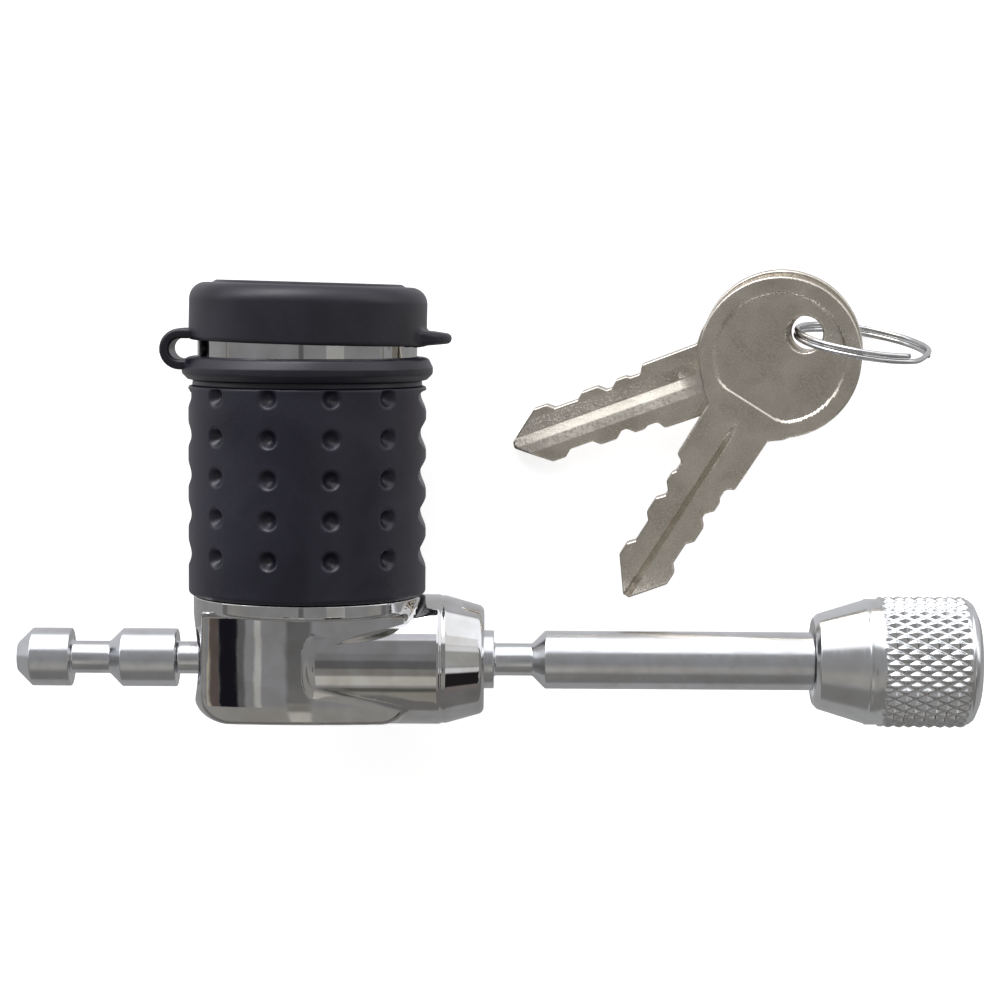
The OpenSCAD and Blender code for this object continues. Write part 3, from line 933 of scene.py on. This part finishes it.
def springs():
    """The bolt's spring, and the six small springs of the wafers."""
    low, high = lock_box("bolt_spring")
    wire = 0.35
    turns = 3.5
    points, faces = coil(high.x - wire, wire, low.y + wire, high.y - wire, turns, UPRIGHT)
    obj = new_object("bolt_coil", points, faces)
    obj.data.materials.append(STAINLESS)
    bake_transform(obj)
    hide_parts("bolt_spring")

    low, high = lock_box("wafer_springs")
    small_r, small_wire, small_turns = 0.38, 0.09, 7
    points, faces = [], []
    for i in range(wafer_count):
        y = wafer_first + wafer_pitch * i
        place = Matrix.Translation((0, y, (low.z + high.z) / 2)) @ ALONG_PIN
        some, quads = coil(small_r, small_wire, low.x + 0.1, high.x - 0.1, small_turns, place)
        faces += [[len(points) + k for k in quad] for quad in quads]
        points += some.tolist()
    obj = new_object("wafer_coils", points, faces)
    fit(obj, STAINLESS, "stainless", "plug", "wafer_springs")


# ---- CAD pieces that keep their shape ----


def inner_pieces():
    finish = {
        BRASS: ["plug", "lock_barrel"] + [f"wafer_{i + 1}" for i in range(wafer_count)],
        STEEL: ["bolt", "bolt_cross_pin", "plug_cam", "cam_pin", "barrel_pin"],
        STAINLESS: ["face_plate", "plug_clip"],
        SEAL_RUBBER: ["nose_seal", "tail_seal"],
    }
    for material, names in finish.items():
        for name in names:
            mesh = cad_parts[name].data
            mesh.materials.clear()
            mesh.materials.append(material)


# ---- Studio ----


def studio():
    """A pale, faintly glowing table under the set."""
    floor_half = 4.0
    mesh = bpy.data.meshes.new("table")
    corners = [(-1, -1), (1, -1), (1, 1), (-1, 1)]
    points = [(x * floor_half, y * floor_half, table_z * MM) for x, y in corners]
    mesh.from_pydata(points, [], [[0, 1, 2, 3]])
    table = bpy.data.objects.new("table", mesh)
    material = shader("table_white", (0.9, 0.9, 0.9), 0.8, Specular_IOR_Level=0.0)
    socket_of(material, "Emission Color").default_value = (1, 1, 1, 1)
    socket_of(material, "Emission Strength").default_value = 0.7
    mesh.materials.append(material)
    bpy.context.scene.collection.objects.link(table)
    table.visible_glossy = False


def sky():
    """The studio as the metal sees it: panels round the set, by angle from straight up.

    Each panel is (from, to) towards +X, (from, to) towards +Y, softness, colour. Degrees."""
    all_round = (-200, 200)
    lock_side = (-70, 0)
    body_only = (-5.2, -0.2)
    nose_only = (23, 42)
    flat_only = (-18, -8.3)
    panels = [
        (all_round, (-200, -96), 4, (0.36, 0.36, 0.36)),
        (all_round, (-96, -50), 4, (0.2, 0.195, 0.19)),
        (all_round, (-44, -17), 5, (0.36, 0.35, 0.33)),
        (all_round, (36, 107), 3, (1.45, 1.48, 1.53)),
        (lock_side, (54, 92), 8, (7.0, 7.0, 7.2)),
        (all_round, (107, 200), 6, (0.62, 0.62, 0.64)),
        (body_only, (14, 41), 3, (0.3, 0.3, 0.31)),
        (body_only, (41, 54), 3, (0.85, 0.86, 0.93)),
        (body_only, (4, 16), 3, (0.25, 0.25, 0.26)),
        (body_only, (-12, 4), 3, (0.15, 0.15, 0.15)),
        (body_only, (-24, -12), 3, (0.28, 0.27, 0.25)),
        (body_only, (-41, -24), 3, (0.62, 0.6, 0.55)),
        (body_only, (-54, -46), 2, (0.13, 0.13, 0.11)),
        (body_only, (-81, -54), 3, (0.33, 0.32, 0.28)),
        (body_only, (-120, -81), 5, (0.2, 0.17, 0.15)),
        (nose_only, (36, 60), 4, (1.1, 1.1, 1.1)),
        (nose_only, (22, 36), 4, (0.95, 0.95, 0.95)),
        (nose_only, (-8, 22), 4, (0.47, 0.47, 0.45)),
        (nose_only, (-20, -10), 3, (0.85, 0.85, 0.85)),
        (nose_only, (-49, -21), 2, (0.02, 0.018, 0.018)),
        (nose_only, (-66, -49), 3, (0.24, 0.2, 0.2)),
        ((-22.8, -21.4), flat_only, 0.4, (0.52, 0.47, 0.38)),
        ((-21.4, -19.5), flat_only, 0.4, (0.13, 0.1, 0.09)),
        ((-19.5, -15.3), flat_only, 0.4, (0.012, 0.011, 0.016)),
        ((-15.5, -14.0), flat_only, 0.4, (0.14, 0.14, 0.14)),
        ((-12.0, -10.6), flat_only, 0.3, (0.55, 0.55, 0.53)),
    ]
    world = bpy.data.worlds.new("studio")
    bpy.context.scene.world = world
    world.use_nodes = True
    tree = world.node_tree
    new, link = tree.nodes.new, tree.links.new

    def math_node(kind, a, b):
        node = new("ShaderNodeMath")
        node.operation = kind
        for value, socket in ((a, node.inputs[0]), (b, node.inputs[1])):
            if isinstance(value, (int, float)):
                socket.default_value = value
            else:
                link(value, socket)
        return node.outputs[0]

    def between(value, low, high, soft):
        return math_node("SUBTRACT", step_up(value, low, soft), step_up(value, high, soft))

    def step_up(value, at, soft):
        node = new("ShaderNodeMapRange")
        node.interpolation_type = "SMOOTHSTEP"
        node.inputs["From Min"].default_value = math.radians(at - soft)
        node.inputs["From Max"].default_value = math.radians(at + soft)
        link(value, node.inputs["Value"])
        return node.outputs["Result"]

    place = new("ShaderNodeTexCoord")
    parts = new("ShaderNodeSeparateXYZ")
    link(place.outputs["Generated"], parts.inputs[0])
    towards_x = math_node("ARCTAN2", parts.outputs["X"], parts.outputs["Z"])
    towards_y = math_node("ARCTAN2", parts.outputs["Y"], parts.outputs["Z"])
    colour = None
    for x_range, y_range, soft, tint in panels:
        mask = between(towards_y, *y_range, soft)
        if x_range is not all_round:
            mask = math_node("MULTIPLY", mask, between(towards_x, *x_range, min(soft, 0.6)))
        mix = new("ShaderNodeMix")
        mix.data_type = "RGBA"
        link(mask, mix.inputs["Factor"])
        if colour is None:
            mix.inputs["A"].default_value = (0.3, 0.3, 0.305, 1)
        else:
            link(colour, mix.inputs["A"])
        mix.inputs["B"].default_value = (*tint, 1)
        colour = mix.outputs["Result"]
    link(colour, tree.nodes["Background"].inputs["Color"])


def camera():
    """Above the set, looking down at it from a little up the lock's axis."""
    place = Vector((23.1, 45.36, 336.0))
    target = Vector((23.1, 19.26, 0.0))
    roll = 0.36
    forward = (target - place).normalized()
    right = forward.cross(Vector((0, 1, 0))).normalized()
    up = right.cross(forward)
    turn = Matrix((right, up, -forward)).transposed().to_4x4()
    data = bpy.data.cameras.new("camera")
    data.lens = 101.1
    data.sensor_width = 36
    obj = bpy.data.objects.new("camera", data)
    turn = turn @ Matrix.Rotation(math.radians(roll), 4, "Z")
    obj.matrix_world = Matrix.Translation(place * MM + Vector((lock_x, 0, 0))) @ turn
    bpy.context.scene.collection.objects.link(obj)
    bpy.context.scene.camera = obj


camera()
studio()
sky()
lock_casting()
grip()
strap_ring()
strap()
dust_cap()
pin()
knob()
keys()
split_ring()
springs()
inner_pieces()
bpy.context.scene.view_settings.view_transform = "Standard"
